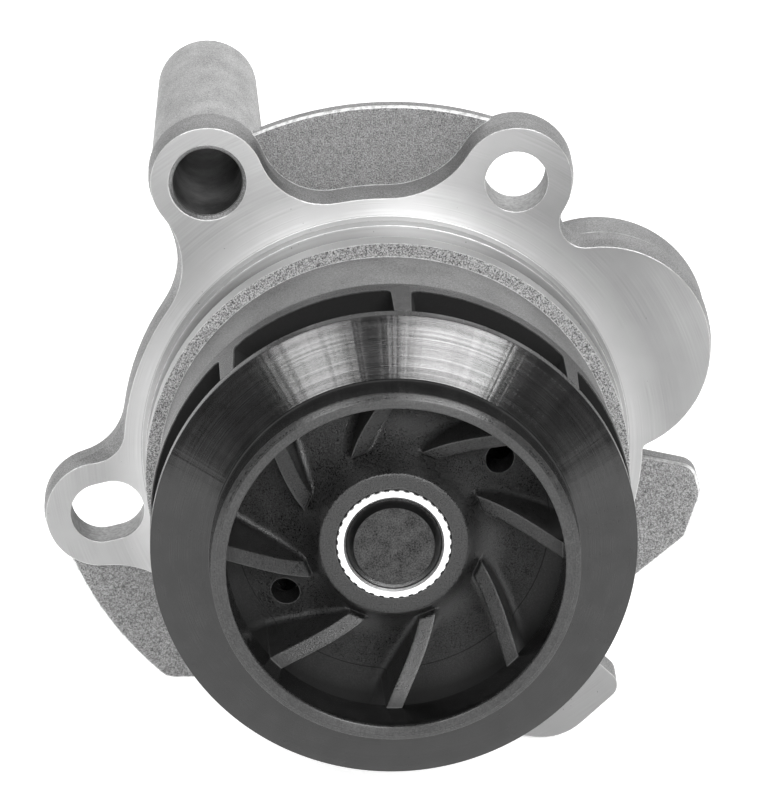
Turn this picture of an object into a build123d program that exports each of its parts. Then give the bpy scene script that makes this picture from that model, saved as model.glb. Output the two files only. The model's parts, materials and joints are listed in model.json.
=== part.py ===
"""Belt-driven coolant pump with a closed impeller, one STEP file per separate piece.

Frame, in millimetres: the shaft axis is Y. The origin is on the shaft axis, in the plane of the
flange face that bolts to the engine block. The impeller points to -Y, the belt pulley to +Y, +Z is up.
"""
import os
from math import atan2, cos, hypot, pi, radians, sin, sqrt

from build123d import *

os.makedirs("parts", exist_ok=True)

# ---------------------------------------------------------------- driving dimensions
# flange: tangent circles in the XZ plane, each (x, z, radius)
FLANGE_TOP = (0.0, 0.0, 35.7)
FLANGE_LOW = (0.0, 0.0, 35.1)
EAR_UPPER_LEFT = (-24.0, 38.1, 7.7)
EAR_UPPER_RIGHT = (17.6, 37.9, 7.56)
EAR_LEFT = (-39.0, -9.3, 7.5)
LOBE = (29.25, 13.65, 14.95)
FLANGE_THICK = 8.0
EAR_THICK = 5.8
EAR_PAD_BACK = 7.0
EDGE_ROUND = 0.5
# radii of the hollows between those circles, clockwise from the one after the left ear
FRONT_HOLLOWS = [4.5, 11.0, 9.2, 12.4, 3.55, 1.2, 12.0]
# behind the parting line the cast outline stands out further
PARTING = 2.5
PARTING_OUT = 0.3
BACK_HOLLOWS = [8.0, 12.0, 8.9, 12.1, 3.25, 0.9, 11.7]
LOBE_DEPTH = 13.0
LOBE_STEP = 5.5
LOBE_BACK = (29.1, 13.75, 15.2)
LOBE_BACK_ROUND = 1.0
LOBE_WALL = 3.2
LOBE_POCKET_IN_R = 30.5

# thin cast shield plates behind the flange face
SHIELD_R = 46.3
SHIELD_CENTRE = (0.7, 0.8)
SHIELD_FRONT = 5.2
SHIELD_BACK = 8.0
WING_FRONT = 4.5
WING_BACK = 8.3
SHIELD_ROUND = 0.8

# bolt points
BOLT_R = 4.25
HOLE_CLEAR_R = 6.6
SLEEVE_HOLE_R = 4.7
SLEEVE_MOUTH = 0.6
SLEEVE_X = -23.85
SLEEVE_TOP_R = 7.85
SLEEVE_END_R = 6.88
SLEEVE_END = 45.7
SLEEVE_END_ROUND = 1.2
SLOT_CENTRE = (-38.1, -8.9)
SLOT_R = 4.22
SLOT_HALF = 0.85
SLOT_ANGLE = 13.5

# spigot and nose that enter the block, radius and axial stations
SPIGOT_R = 32.75
GROOVE_R = 30.4
GROOVE_BACK = -2.6
GROOVE_FRONT = -7.5
SPIGOT_FRONT = -10.4
NOSE_R = 30.95
NOSE_STEP = -10.75
NOSE_FRONT = -24.2
SPIGOT_CHAMFER = 0.5
NOSE_POCKET_OUT_R = 27.65
NOSE_POCKET_IN_R = 22.8
NOSE_POCKET_END = -9.25

# bores inside the housing
SEAL_MOUTH_R = 20.6
SEAL_BORE_R = 18.25
SEAL_SHOULDER = -14.4
SEAL_BORE_END = -7.9
LEAK_R = 17.0
LEAK_END = -5.5
SHOULDER_R = 13.2
BARREL_R = 20.0
BARREL_END = 28.0
BARREL_CHAMFER = 1.0
BARREL_FLARE = [(29.0, FLANGE_THICK), (24.5, 10.5), (21.5, 14.0), (BARREL_R, 18.0)]
WEEP_R = 1.6

# bearing: outer ring, two rows of balls on the shaft
RING_R = 15.0
RING_BORE_R = 12.9
RING_FRONT = -4.0
RING_BACK = 32.0
BALL_R = 3.175
BALL_PITCH_R = 10.3
BALL_COUNT = 9
BALL_ROWS = {"front": 5.5, "rear": 22.5}
RACE_CLEAR = 0.03
CAGE_IN_R = 9.1
CAGE_OUT_R = 11.7
CAGE_HALF = 4.1
BEARING_SEAL_THICK = 1.3
RUNNING_CLEAR = 0.06

# shaft
SHAFT_R = 7.959
SHAFT_NOSE_R = 6.35
SHAFT_STEP = -8.0
SHAFT_FRONT = -37.97
SHAFT_BACK = 43.5

# impeller
RIM_R = 32.0
HUB_R = 9.97
HUB_FRONT = -37.2
HUB_BACK = -23.4
PLATE_FRONT = -27.7
PLATE_BACK = -25.0
EYE_R = 22.07
EYE_OUT_R = 24.1
EYE_FRONT = -46.45
SHROUD_FRONT = -38.0
SHROUD_BACK = -36.2
VANE_COUNT = 8
VANE_IN_R = 12.2
VANE_THICK = 2.0
VANE_ANGLE = 21.8
VANE_WRAP = 25.5
VANE_TURN_R = 28.0
VANE_TIP_TOP = -34.4
VANE_EYE_TOP = -40.0
BALANCE_HOLE_R = 1.9
BALANCE_PITCH_R = 16.9
BALANCE_ANGLE = 33.0
INSERT_R = 7.6
INSERT_FRONT = -37.4
KNURL_COUNT = 36
KNURL_DEPTH = 0.2

# mechanical seal
SLEEVE_R = 7.0
SEAT_FRONT = -22.9
SEAT_FACE = -18.4
SEAT_IN_R = 8.2
SEAT_OUT_R = 11.0
FACE_GAP = 0.04
CARBON_BACK = -13.4
CASE_WALL = 0.8
SPRING_R = 14.2
SPRING_WIRE_R = 0.65
SPRING_TURNS = 3.5

# pulley
TOOTH_COUNT = 23
TOOTH_PITCH = 8.0
TOOTH_GROOVE_R = 2.5
TOOTH_GROOVE_DEPTH = 3.3
PULLEY_FRONT = 18.0
PULLEY_BACK = 40.5
PULLEY_RIM = 2.6
PULLEY_WEB = 5.0
PULLEY_HUB_R = 12.5
PULLEY_HUB_FRONT = 33.0
LIGHTENING_R = 3.0

# cast plates and the lug, corners as (x, z, corner radius)
LUG_CORNERS = [
    (24.0, -26.8, 0.5), (33.06, -35.28, 2.1), (24.31, -43.48, 8.0), (12.0, -41.63, 4.0), (9.0, -31.0, 0.5),
]
RIGHT_WING_CORNERS = [
    (31.0, -2.2, 0.5), (42.6, -4.8, 2.6), (43.7, -8.9, 2.4), (41.6, -15.2, 1.8), (31.0, -24.2, 0.5),
    (27.0, -14.0, 0.5),
]
LEFT_WING_R = 46.65
LEFT_WING_TOP = -13.55
LEFT_WING_BOTTOM = -35.5
LEFT_WING_INNER = -11.0
LEFT_WING_CORNER_R = 3.0

# rear ribs from the bearing carrier, each towards a boss: (boss, reach, rear end at the carrier)
RIBS = [(EAR_UPPER_LEFT, 38.5, 18.0), (EAR_UPPER_RIGHT, 33.0, 16.0), (EAR_LEFT, 33.5, 16.0)]
RIB_THICK = 4.5
RIB_START_R = 14.0
RIB_FRONT = 2.0

XZ = {"x_dir": (1, 0, 0), "z_dir": (0, -1, 0)}


# ---------------------------------------------------------------- helpers
def revolved(points):
    """Turn a closed outline of (radius, y) points about the shaft axis."""
    return revolve(make_face(Polyline(*points, close=True)), axis=Axis.Y)


def ring(outer, inner, front, back):
    """A plain ring from y = front to y = back."""
    if inner <= 0:
        return revolved([(0, front), (outer, front), (outer, back), (0, back)])
    return revolved([(inner, front), (outer, front), (outer, back), (inner, back)])


def prism(sketch, front, back):
    """Extrude an XZ outline from y = front to y = back."""
    plane = Plane(origin=(0, back, 0), **XZ)
    return extrude(plane * sketch, amount=back - front)


def pin(x, z, radius, front, back):
    """A cylinder parallel to the shaft."""
    return prism(Pos(x, z) * Circle(radius), front, back)


def around_shaft(angle):
    """A turn about the shaft axis that takes +X towards +Z."""
    return Rot(0, -angle, 0)


def polar(radius, angle):
    return radius * cos(radians(angle)), radius * sin(radians(angle))


def blend(first, second, radius):
    """The hollow blend between two neighbouring rounds of a clockwise outline, outside both of them."""
    ax, az, ar = first
    bx, bz, br = second
    gap = hypot(bx - ax, bz - az)
    along = ((ar + radius) ** 2 - (br + radius) ** 2 + gap**2) / (2 * gap)
    aside = sqrt((ar + radius) ** 2 - along**2)
    ux = (bx - ax) / gap
    uz = (bz - az) / gap
    return ax + along * ux - aside * uz, az + along * uz + aside * ux, radius


def touch(solid_round, hollow):
    """Where a round of the outline meets the hollow blend beside it."""
    x, z, radius = solid_round
    scale = radius / hypot(hollow[0] - x, hollow[1] - z)
    return x + scale * (hollow[0] - x), z + scale * (hollow[1] - z)


def arc_on(circle, start, end, clockwise):
    """The arc of a circle from start to end in the given sense."""
    x, z, radius = circle
    first = atan2(start[1] - z, start[0] - x)
    last = atan2(end[1] - z, end[0] - x)
    middle = first - ((first - last) % (2 * pi)) / 2
    if not clockwise:
        middle = first + ((last - first) % (2 * pi)) / 2
    return ThreePointArc(start, (x + radius * cos(middle), z + radius * sin(middle)), end)


def rounded_polygon(corners):
    """A polygon with its own round at each corner; a corner is (x, z, radius)."""
    points = [(x, z) for x, z, _ in corners]
    return make_face(FilletPolyline(*points, radius=[radius for _, _, radius in corners], close=True))


def edges_at(solid, y):
    """The edges of a solid that lie in one plane across the shaft axis."""
    return solid.edges().filter_by(lambda edge: all(abs(v.Y - y) < 1e-4 for v in edge.vertices()))


# ---------------------------------------------------------------- housing
def flange_outline(grow, hollow_radii, y):
    """Rounds joined by hollow blends, clockwise from the left ear, drawn in the plane at y."""
    rounds = [EAR_LEFT, FLANGE_TOP, EAR_UPPER_LEFT, FLANGE_TOP, EAR_UPPER_RIGHT, LOBE, FLANGE_LOW]
    rounds = [(x, z, radius + grow) for x, z, radius in rounds]
    following = rounds[1:] + rounds[:1]
    hollows = [blend(*group) for group in zip(rounds, following, hollow_radii)]
    edges = []
    for number, circle in enumerate(rounds):
        before = hollows[number - 1]
        after = hollows[number]
        edges.append(arc_on(circle, touch(circle, before), touch(circle, after), True))
        edges.append(arc_on(after, touch(circle, after), touch(following[number], after), False))
    return Plane(origin=(0, y, 0), **XZ) * make_face(edges)


def flange():
    """Machined plate with three ears, one of them thicker; its cast side leans out to the parting line."""
    face = flange_outline(0, FRONT_HOLLOWS, 0)
    front = loft([face, flange_outline(PARTING_OUT, BACK_HOLLOWS, PARTING)], ruled=True)
    back = extrude(flange_outline(PARTING_OUT, BACK_HOLLOWS, EAR_THICK), amount=EAR_THICK - PARTING)
    back = fillet(edges_at(back, EAR_THICK), EDGE_ROUND)
    x, z, radius = EAR_UPPER_RIGHT
    pad = pin(x, z, radius + PARTING_OUT, PARTING, EAR_PAD_BACK)
    pad = fillet(edges_at(pad, EAR_PAD_BACK), EDGE_ROUND)
    plate = front + back
    lug = prism(rounded_polygon(LUG_CORNERS), 0, EAR_THICK)
    lug = fillet(edges_at(lug, EAR_THICK), EDGE_ROUND)
    disc = ring(FLANGE_LOW[2], 0, 0, FLANGE_THICK)
    back_of_lobe = pin(*LOBE_BACK, LOBE_STEP, LOBE_DEPTH)
    back_of_lobe = fillet(edges_at(back_of_lobe, LOBE_DEPTH), LOBE_BACK_ROUND)
    return plate + pad + lug + disc + back_of_lobe


def top_web():
    """Outline of the shield plate between the two upper ears."""
    left = EAR_UPPER_LEFT[0]
    width = EAR_UPPER_RIGHT[0] - left
    return (Pos(*SHIELD_CENTRE) * Circle(SHIELD_R)) & (Pos(left + width / 2, SHIELD_R) * Rectangle(width, SHIELD_R))


def left_wing():
    """Outline of the shield plate below the left ear."""
    width = SHIELD_R + LEFT_WING_INNER
    height = LEFT_WING_TOP - LEFT_WING_BOTTOM
    place = Pos(LEFT_WING_INNER - width / 2, LEFT_WING_TOP - height / 2)
    sketch = Circle(LEFT_WING_R) & (place * Rectangle(width, height))
    corner = sketch.vertices().sort_by(Axis.Y)[:2].sort_by(Axis.X)[0]
    return fillet(corner, LEFT_WING_CORNER_R)


def shield_plates():
    """Thin cast plates set back from the flange face: top web, lower left wing and right wing."""
    layers = [
        (top_web(), SHIELD_FRONT, SHIELD_BACK), (left_wing(), WING_FRONT, WING_BACK),
        (rounded_polygon(RIGHT_WING_CORNERS), WING_FRONT, WING_BACK),
    ]
    plates = []
    for sketch, front, back in layers:
        plate = prism(sketch, front, back)
        plate = fillet(edges_at(plate, front) + edges_at(plate, back), SHIELD_ROUND)
        plates.append(plate)
    return plates


def bolt_sleeve():
    """The long tapered boss behind the upper left ear."""
    sleeve = revolved([
        (0, 1), (SLEEVE_TOP_R - 0.4, 1), (SLEEVE_TOP_R, EAR_THICK), (SLEEVE_END_R, SLEEVE_END), (0, SLEEVE_END),
    ])
    sleeve = fillet(edges_at(sleeve, SLEEVE_END), SLEEVE_END_ROUND)
    return Pos(SLEEVE_X, 0, EAR_UPPER_LEFT[1]) * sleeve


def spigot_and_nose():
    """Spigot with its ring groove, the rough step in front of it and the nose that meets the impeller."""
    return revolved([
        (0, SPIGOT_CHAMFER), (SPIGOT_R + SPIGOT_CHAMFER, SPIGOT_CHAMFER), (SPIGOT_R + SPIGOT_CHAMFER, 0),
        (SPIGOT_R, -SPIGOT_CHAMFER), (SPIGOT_R, GROOVE_BACK), (GROOVE_R, GROOVE_BACK),
        (GROOVE_R, GROOVE_FRONT), (SPIGOT_R, GROOVE_FRONT), (SPIGOT_R, SPIGOT_FRONT), (NOSE_R, NOSE_STEP),
        (NOSE_R, NOSE_FRONT + SPIGOT_CHAMFER), (NOSE_R - SPIGOT_CHAMFER, NOSE_FRONT), (0, NOSE_FRONT),
    ])


def bearing_barrel():
    """The bearing carrier behind the flange, with a flared root."""
    root = [(0, 1), (BARREL_FLARE[0][0], 1)]
    end = [(BARREL_R, BARREL_END - BARREL_CHAMFER), (BARREL_R - BARREL_CHAMFER, BARREL_END), (0, BARREL_END)]
    return revolved(root + BARREL_FLARE + end)


def rib(boss, reach, back):
    """A rear rib from the barrel towards a boss, full height at the barrel and low at its far end."""
    angle = atan2(boss[1], boss[0]) * 180 / pi
    side = Polyline(
        (RIB_START_R, RIB_FRONT), (RIB_START_R, back), (BARREL_R, back), (reach, EAR_THICK + 1),
        (reach, RIB_FRONT), close=True,
    )
    web = extrude(make_face(side), amount=RIB_THICK / 2, both=True)
    return around_shaft(angle) * web


def housing_bores():
    """Everything that is drilled or bored out of the housing."""
    inside = revolved([
        (0, NOSE_FRONT - 1), (SEAL_MOUTH_R, NOSE_FRONT - 1), (SEAL_MOUTH_R, SEAL_SHOULDER),
        (SEAL_BORE_R, SEAL_SHOULDER), (SEAL_BORE_R, SEAL_BORE_END), (LEAK_R, SEAL_BORE_END),
        (LEAK_R, LEAK_END), (SHOULDER_R, LEAK_END), (SHOULDER_R, RING_FRONT), (RING_R, RING_FRONT),
        (RING_R, BARREL_END + 1), (0, BARREL_END + 1),
    ])
    x, z, _ = EAR_UPPER_LEFT
    sleeve_hole = pin(x, z, SLEEVE_HOLE_R, -1, SLEEVE_END + 1)
    mouth = revolved([
        (0, 0), (SLEEVE_HOLE_R + SLEEVE_MOUTH, 0), (SLEEVE_HOLE_R, SLEEVE_MOUTH), (0, SLEEVE_MOUTH),
    ])
    mouth = Pos(x, 0, z) * mouth
    x, z, _ = EAR_UPPER_RIGHT
    bolt_hole = pin(x, z, BOLT_R, -1, EAR_PAD_BACK + 1)
    bolt_hole += pin(x, z, HOLE_CLEAR_R, EAR_PAD_BACK, WING_BACK + 1)
    slot_shape = Pos(*SLOT_CENTRE) * Rot(0, 0, SLOT_ANGLE) * SlotCenterToCenter(2 * SLOT_HALF, 2 * SLOT_R)
    slot = prism(slot_shape, -1, EAR_THICK + 3)
    slot += pin(SLOT_CENTRE[0], SLOT_CENTRE[1], HOLE_CLEAR_R, EAR_THICK, WING_BACK + 1)
    nose_pocket = ring(NOSE_POCKET_OUT_R, NOSE_POCKET_IN_R, NOSE_FRONT - 1, NOSE_POCKET_END)
    lobe_pocket = Pos(LOBE[0], LOBE[1]) * Circle(LOBE[2] - LOBE_WALL) - Circle(LOBE_POCKET_IN_R)
    lobe_pocket = prism(lobe_pocket, LOBE_STEP, LOBE_DEPTH + 1)
    weep_start = Vector(0, LEAK_END - 1.4, -LEAK_R + 2)
    weep_end = Vector(0, FLANGE_THICK + 3, -FLANGE_LOW[2] + 5.5)
    weep_axis = weep_end - weep_start
    weep = extrude(Plane(origin=weep_start, z_dir=weep_axis) * Circle(WEEP_R), amount=weep_axis.length)
    return [inside, sleeve_hole, mouth, bolt_hole, slot, nose_pocket, lobe_pocket, weep]


def housing():
    body = flange() + bolt_sleeve() + spigot_and_nose() + bearing_barrel()
    for plate in shield_plates():
        body += plate
    for boss, reach, back in RIBS:
        body += rib(boss, reach, back)
    for cut in housing_bores():
        body -= cut
    return body


# ---------------------------------------------------------------- bearing
def groove_cutter(y):
    """The ring that a ball row needs in the shaft or the outer ring."""
    return Pos(0, y, 0) * Rot(90, 0, 0) * Torus(BALL_PITCH_R, BALL_R + RACE_CLEAR)


def bearing_outer_ring():
    edge = 0.6
    body = revolved([
        (RING_BORE_R, RING_FRONT), (RING_R - edge, RING_FRONT), (RING_R, RING_FRONT + edge),
        (RING_R, RING_BACK - edge), (RING_R - edge, RING_BACK), (RING_BORE_R, RING_BACK),
    ])
    for y in BALL_ROWS.values():
        body -= groove_cutter(y)
    return body


def ball_row(y):
    """One row of balls, as separate solids in one piece file."""
    balls = []
    for number in range(BALL_COUNT):
        x, z = polar(BALL_PITCH_R, 360 / BALL_COUNT * number)
        balls.append(Pos(x, y, z) * Sphere(BALL_R))
    return Compound(children=balls)


def ball_cage(y):
    """A moulded cage with one pocket for each ball."""
    body = ring(CAGE_OUT_R, CAGE_IN_R, y - CAGE_HALF, y + CAGE_HALF)
    for number in range(BALL_COUNT):
        x, z = polar(BALL_PITCH_R, 360 / BALL_COUNT * number)
        outward = Plane(origin=(0, y, 0), z_dir=(x, 0, z))
        body -= extrude(outward * Circle(BALL_R + 0.08), amount=CAGE_OUT_R + 1)
    return body


def bearing_seal(front):
    """A lip seal that closes one end of the bearing: a washer with a thin lip close to the shaft."""
    back = front + BEARING_SEAL_THICK
    lip_r = SHAFT_R + RUNNING_CLEAR
    middle = (front + back) / 2
    return revolved([
        (lip_r, middle - 0.25), (lip_r + 1.2, front), (RING_BORE_R, front), (RING_BORE_R, back),
        (lip_r + 1.2, back), (lip_r, middle + 0.25),
    ])


def pump_shaft():
    """Stepped shaft: thin nose for the impeller and seal, thick bearing length with two ball grooves."""
    nose_chamfer = 1.0
    body = revolved([
        (0, SHAFT_FRONT), (SHAFT_NOSE_R - nose_chamfer, SHAFT_FRONT), (SHAFT_NOSE_R, SHAFT_FRONT + nose_chamfer),
        (SHAFT_NOSE_R, SHAFT_STEP), (SHAFT_R - 0.3, SHAFT_STEP), (SHAFT_R, SHAFT_STEP + 0.3),
        (SHAFT_R, SHAFT_BACK - 0.8), (SHAFT_R - 0.8, SHAFT_BACK), (0, SHAFT_BACK),
    ])
    for y in BALL_ROWS.values():
        body -= groove_cutter(y)
    return body


# ---------------------------------------------------------------- mechanical seal
def seat_sleeve():
    """Thin steel sleeve on the shaft nose, flared outwards at the impeller end."""
    return revolved([
        (SHAFT_NOSE_R, SEAT_FRONT), (SLEEVE_R, SEAT_FRONT), (SLEEVE_R, SHAFT_STEP - 1.2),
        (SHAFT_NOSE_R, SHAFT_STEP - 1.2),
    ])


def seat_rubber_cup():
    """Rubber cup that holds the turning seat on the sleeve."""
    return revolved([
        (SLEEVE_R, SEAT_FRONT), (SEAT_OUT_R, SEAT_FRONT), (SEAT_OUT_R, SEAT_FRONT + 1.1),
        (SEAT_IN_R, SEAT_FRONT + 1.1), (SEAT_IN_R, SEAT_FACE + 0.1), (SLEEVE_R, SEAT_FACE + 0.1),
    ])


def ceramic_seat_ring():
    """The turning seal face."""
    return ring(SEAT_OUT_R, SEAT_IN_R, SEAT_FRONT + 1.1, SEAT_FACE)


def carbon_face_ring():
    """The standing seal face, a narrow nose on a wider ring."""
    front = SEAT_FACE + FACE_GAP
    return revolved([
        (8.3, front), (10.1, front), (10.1, front + 2.0), (11.8, front + 2.0), (11.8, CARBON_BACK),
        (8.3, CARBON_BACK),
    ])


def seal_bellows():
    """Rubber bellows with two folds, from the carbon ring back towards the floor of the case."""
    outer = [(12.6, 0.0), (12.6, 0.9), (10.2, 2.0), (12.6, 3.1), (12.6, 3.9), (9.9, 4.5)]
    inner = [(9.0, 4.5), (9.0, 3.9), (11.2, 3.2), (8.7, 2.2), (8.7, 1.8), (10.8, 0.9), (8.6, 0.0)]
    return revolved([(radius, CARBON_BACK + y) for radius, y in outer + inner])


def seal_case():
    """Drawn steel cup pressed into the housing, its rim on the shoulder and its floor to the rear."""
    rim_front = SEAL_SHOULDER - CASE_WALL
    floor_back = SEAL_BORE_END - 0.2
    inner_r = SEAL_BORE_R - CASE_WALL
    return revolved([
        (SEAL_BORE_R, SEAL_SHOULDER), (SEAL_MOUTH_R - 0.4, SEAL_SHOULDER), (SEAL_MOUTH_R - 0.4, rim_front),
        (inner_r, rim_front), (inner_r, floor_back - CASE_WALL), (9.0, floor_back - CASE_WALL),
        (9.0, floor_back), (SEAL_BORE_R, floor_back),
    ])


def seal_spring():
    """Coil spring between its retainer and the floor of the case."""
    start = CARBON_BACK - 0.9 + SPRING_WIRE_R
    end = SEAL_BORE_END - 0.2 - CASE_WALL - SPRING_WIRE_R - 0.05
    pitch = (end - start) / SPRING_TURNS
    path = Helix(pitch=pitch, height=end - start, radius=SPRING_R)
    section = Plane(origin=path @ 0, z_dir=path % 0) * Circle(SPRING_WIRE_R)
    coil = sweep(section, path=path)
    return Pos(0, start, 0) * Rot(-90, 0, 0) * coil


def seal_spring_retainer():
    """Pressed ring that carries the spring's front end on the bellows collar."""
    back = CARBON_BACK - 0.95
    return revolved([
        (12.75, back - 1.4), (13.45, back - 1.4), (13.45, back - 0.6), (15.2, back - 0.6), (15.2, back),
        (12.75, back),
    ])


def water_slinger():
    """Rubber ring on the shaft that throws leaked coolant towards the weep hole."""
    front = SHAFT_STEP + 0.6
    return revolved([
        (SHAFT_R, front), (9.4, front), (11.8, front + 0.35), (11.8, front + 0.9), (9.4, front + 1.5),
        (SHAFT_R, front + 1.5),
    ])


# ---------------------------------------------------------------- impeller
def vane_line(radius):
    """Middle of a vane, as an angle from its inner tip; it trails, then runs out almost radially."""
    rise = (VANE_TURN_R - radius) / (VANE_TURN_R - VANE_IN_R)
    return -VANE_WRAP * (1 - rise**2)


def vane_plan(angle):
    """Outline of one vane in the XZ plane."""
    stations = [10.8, 15.0, 19.0, 24.0, 28.5, 34.0]
    left = []
    right = []
    for radius in stations:
        slope = radians(vane_line(radius + 0.1) - vane_line(radius - 0.1)) / 0.2 * radius
        half = VANE_THICK / 2 * sqrt(1 + slope**2) / radius * 180 / pi
        left.append(polar(radius, angle + vane_line(radius) + half))
        right.append(polar(radius, angle + vane_line(radius) - half))
    edges = [Spline(*left), Line(left[-1], right[-1]), Spline(*reversed(right)), Line(right[0], left[0])]
    return make_face(edges)


def hub_and_plate():
    """Hub flare and back plate of the impeller, as one turned shape."""
    front = [
        Line((0, HUB_FRONT), (HUB_R - 0.3, HUB_FRONT)),
        Line((HUB_R - 0.3, HUB_FRONT), (HUB_R, HUB_FRONT + 0.3)),
        Line((HUB_R, HUB_FRONT + 0.3), (10.5, -35.8)),
        ThreePointArc((10.5, -35.8), (12.8, -32.3), (16.6, -30.1)),
        ThreePointArc((16.6, -30.1), (23.6, -28.3), (RIM_R, PLATE_FRONT)),
    ]
    back = Polyline((RIM_R, PLATE_FRONT), (RIM_R, PLATE_BACK), (11.0, PLATE_BACK), (11.0, HUB_BACK), (0, HUB_BACK),
                    (0, HUB_FRONT))
    return revolve(make_face(front + back.edges()), axis=Axis.Y)


def vane_space():
    """The room that the vanes fill: under a sloping top in the eye, then under the shroud."""
    return revolved([
        (11.4, VANE_TIP_TOP + 0.5), (VANE_IN_R, VANE_TIP_TOP), (EYE_R, VANE_EYE_TOP), (EYE_R, SHROUD_FRONT - 1.0),
        (EYE_R + 1.2, SHROUD_FRONT + 0.3), (RIM_R, SHROUD_BACK), (RIM_R, PLATE_BACK - 1), (11.4, PLATE_BACK - 1),
    ])


def impeller_body():
    """Moulded hub, back plate and eight vanes, with two balance holes."""
    body = hub_and_plate()
    room = vane_space()
    for number in range(VANE_COUNT):
        blade = prism(vane_plan(VANE_ANGLE + 360 / VANE_COUNT * number), EYE_FRONT, PLATE_BACK - 1)
        body += blade & room
    body -= ring(INSERT_R, 0, HUB_FRONT - 1, HUB_BACK + 1)
    for side in (0, 180):
        x, z = polar(BALANCE_PITCH_R, BALANCE_ANGLE + side)
        body -= pin(x, z, BALANCE_HOLE_R, HUB_FRONT, PLATE_BACK + 1)
    return body


def impeller_shroud():
    """The cone that covers the vanes, with a short neck round the eye."""
    return revolved([
        (EYE_R, EYE_FRONT), (EYE_OUT_R - 0.8, EYE_FRONT), (EYE_OUT_R, EYE_FRONT + 0.45),
        (EYE_OUT_R + 0.1, -41.4), (RIM_R, SHROUD_FRONT), (RIM_R, SHROUD_BACK),
        (EYE_R + 1.2, SHROUD_FRONT + 0.3), (EYE_R, SHROUD_FRONT - 1.0),
    ])


def impeller_insert():
    """Knurled metal bush moulded into the hub and pressed on the shaft."""
    points = []
    for number in range(2 * KNURL_COUNT):
        radius = INSERT_R - 0.01 - KNURL_DEPTH * (number % 2)
        points.append(polar(radius, 180 / KNURL_COUNT * number))
    body = prism(make_face(Polyline(*points, close=True)), INSERT_FRONT, HUB_BACK)
    body -= ring(SHAFT_NOSE_R, 0, INSERT_FRONT - 1, HUB_BACK + 1)
    mouth = revolved([(0, INSERT_FRONT - 0.1), (6.7, INSERT_FRONT - 0.1), (SHAFT_NOSE_R, INSERT_FRONT + 0.3),
                      (0, INSERT_FRONT + 0.3)])
    return body - mouth


# ---------------------------------------------------------------- pulley
def toothed_pulley():
    """Cup-shaped pulley with round belt grooves, its web and hub at the rear."""
    tip_r = TOOTH_COUNT * TOOTH_PITCH / (2 * pi) - 0.69
    bore_r = tip_r - TOOTH_GROOVE_DEPTH - PULLEY_RIM
    web_front = PULLEY_BACK - PULLEY_WEB
    body = revolved([
        (bore_r, PULLEY_FRONT), (tip_r, PULLEY_FRONT), (tip_r, PULLEY_BACK), (PULLEY_HUB_R, PULLEY_BACK),
        (PULLEY_HUB_R, PULLEY_BACK + 2), (SHAFT_R, PULLEY_BACK + 2), (SHAFT_R, PULLEY_HUB_FRONT),
        (PULLEY_HUB_R, PULLEY_HUB_FRONT), (PULLEY_HUB_R, web_front), (bore_r, web_front),
    ])
    groove_pitch_r = tip_r - TOOTH_GROOVE_DEPTH + TOOTH_GROOVE_R
    for number in range(TOOTH_COUNT):
        x, z = polar(groove_pitch_r, 360 / TOOTH_COUNT * number)
        body -= pin(x, z, TOOTH_GROOVE_R, PULLEY_FRONT - 1, PULLEY_BACK + 1)
    for number in range(4):
        x, z = polar((PULLEY_HUB_R + bore_r) / 2 + 0.2, 45 + 90 * number)
        body -= pin(x, z, LIGHTENING_R, web_front - 1, PULLEY_BACK + 1)
    return body


# ---------------------------------------------------------------- write the pieces
def pieces():
    made = {
        "housing": housing(),
        "bearing_outer_ring": bearing_outer_ring(),
        "pump_shaft": pump_shaft(),
        "front_bearing_seal": bearing_seal(RING_FRONT + 0.2),
        "rear_bearing_seal": bearing_seal(RING_BACK - 0.2 - BEARING_SEAL_THICK),
        "seal_case": seal_case(),
        "seal_bellows": seal_bellows(),
        "seal_spring": seal_spring(),
        "seal_spring_retainer": seal_spring_retainer(),
        "carbon_face_ring": carbon_face_ring(),
        "ceramic_seat_ring": ceramic_seat_ring(),
        "seat_rubber_cup": seat_rubber_cup(),
        "seat_sleeve": seat_sleeve(),
        "water_slinger": water_slinger(),
        "impeller_body": impeller_body(),
        "impeller_shroud": impeller_shroud(),
        "impeller_insert": impeller_insert(),
        "toothed_pulley": toothed_pulley(),
    }
    for name, y in BALL_ROWS.items():
        made[f"{name}_ball_row"] = ball_row(y)
        made[f"{name}_ball_cage"] = ball_cage(y)
    return made


for node, shape in pieces().items():
    export_step(shape, f"parts/{node}.step")
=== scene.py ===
"""Looks of the coolant pump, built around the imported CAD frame. Metres; Y is the shaft axis, +Z up."""
import json
from math import atan2, cos, hypot, pi, radians, sin, sqrt

import bmesh
import bpy
from mathutils import Matrix, Vector


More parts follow.
